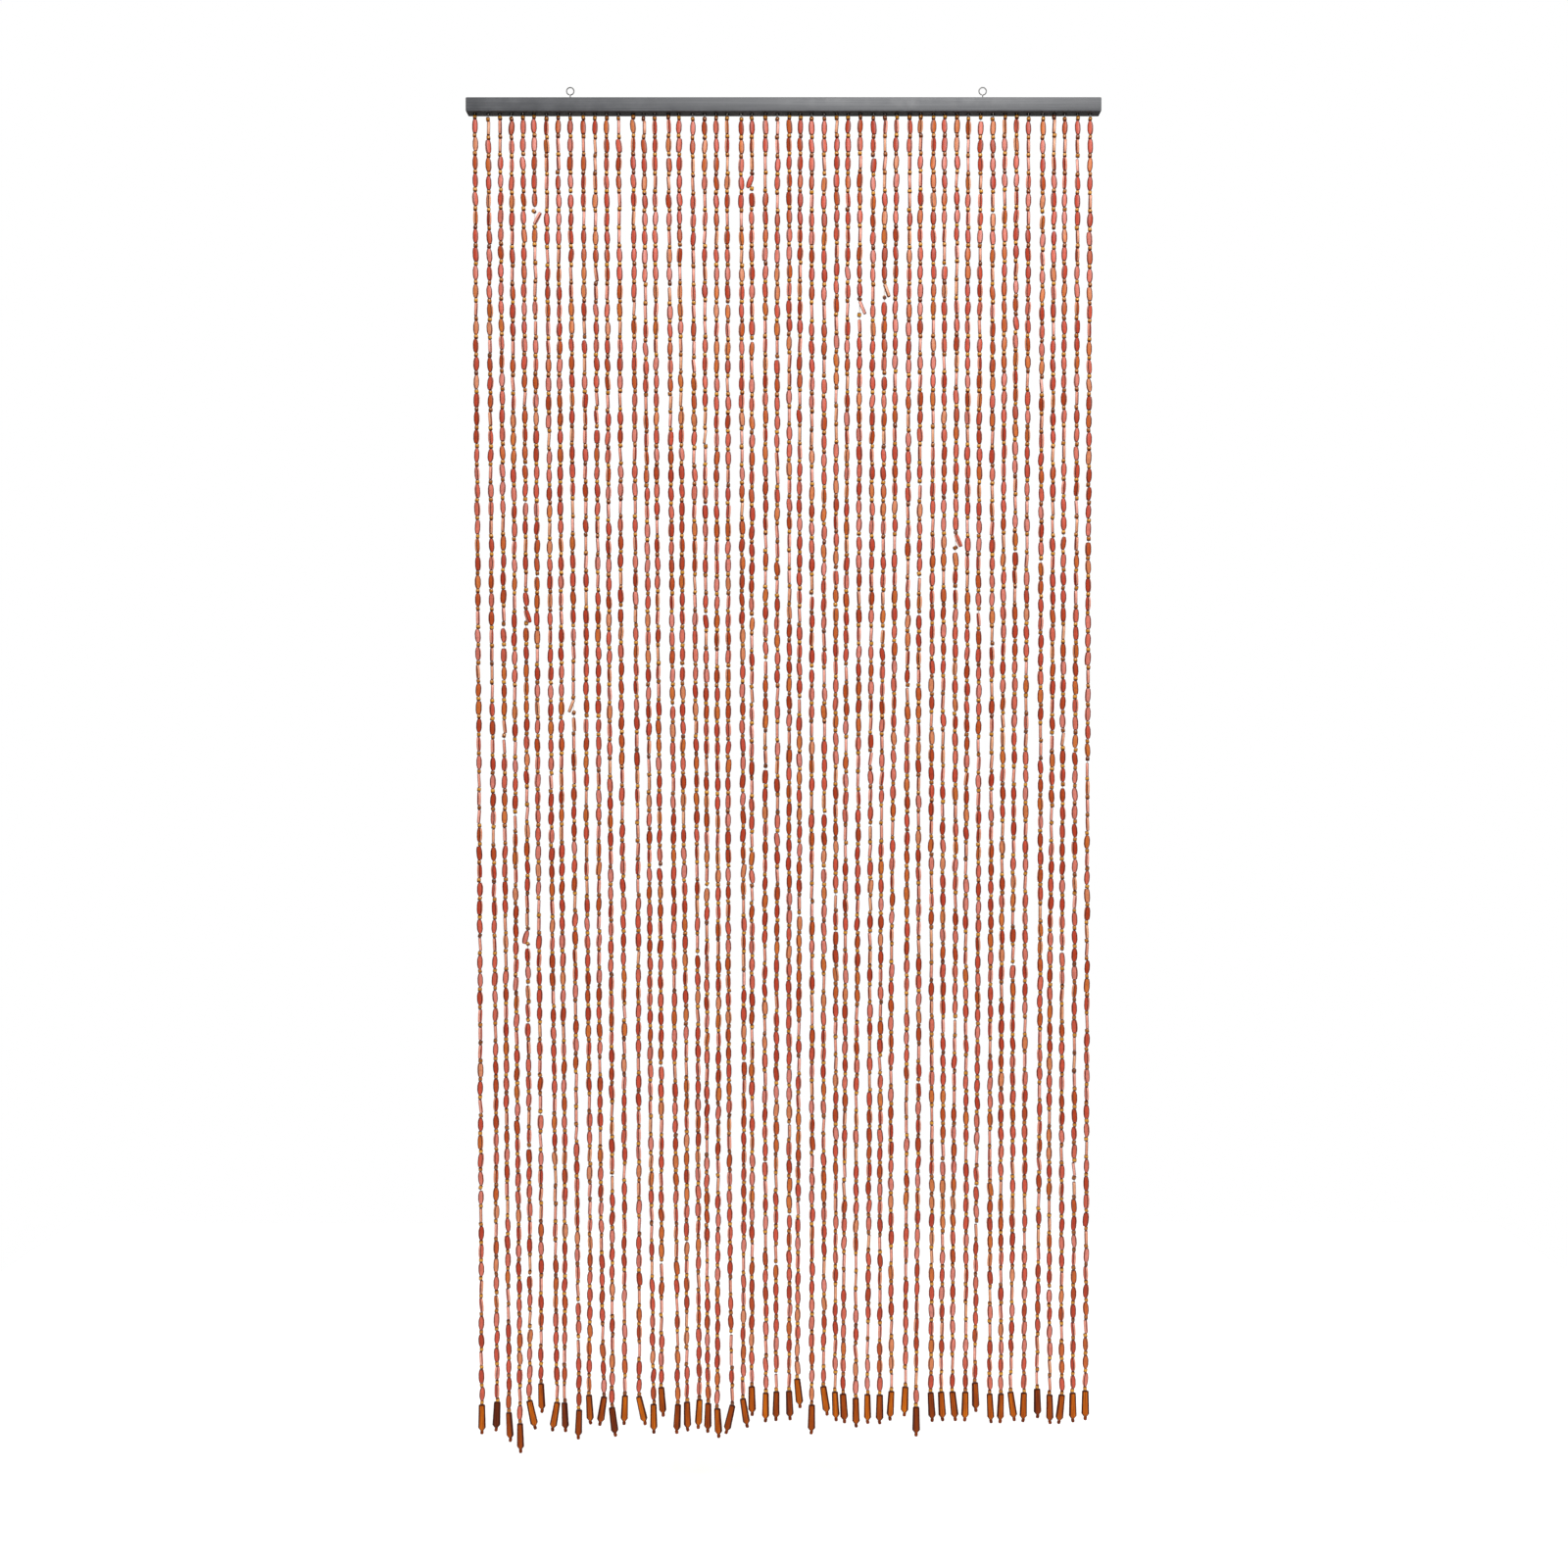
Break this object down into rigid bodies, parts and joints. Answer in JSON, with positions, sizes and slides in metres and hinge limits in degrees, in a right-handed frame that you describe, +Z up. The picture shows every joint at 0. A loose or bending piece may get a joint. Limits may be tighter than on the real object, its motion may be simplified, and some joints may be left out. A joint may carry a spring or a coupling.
{
  "type": "bead curtain and rail",
  "caption": "Doorway curtain of hanging strings of wooden beads, each ending in a long pendant, under a painted wooden rail with screw eyes to hang it by.",
  "frame": {"origin": "over the middle of the rail, at the height of the screw eyes' ring centres, from which the curtain hangs", "axes": "+X along the rail to the right as seen from the front, +Y back towards the wall, +Z up"},
  "size_m": [0.9, 0.025, 1.955],
  "materials": {
    "rail_paint": "charcoal grey paint on wood, satin",
    "eye_zinc": "zinc plated steel wire",
    "barrel_wood": "flat barrel beads of wood, stained coral, salmon and terracotta, satin varnish",
    "spacer_lacquer": "small wooden beads in golden ochre lacquer, glossy",
    "pendant_wood": "long wooden pendants stained amber brown, with darker edges, satin varnish",
    "thread_nylon": "clear nylon thread"
  },
  "bodies": {
    "root": {"rail": "rail_paint", "screw_eye_left": "eye_zinc", "screw_eye_right": "eye_zinc", "strings": "barrel_wood"}
  },
  "joints": []
}
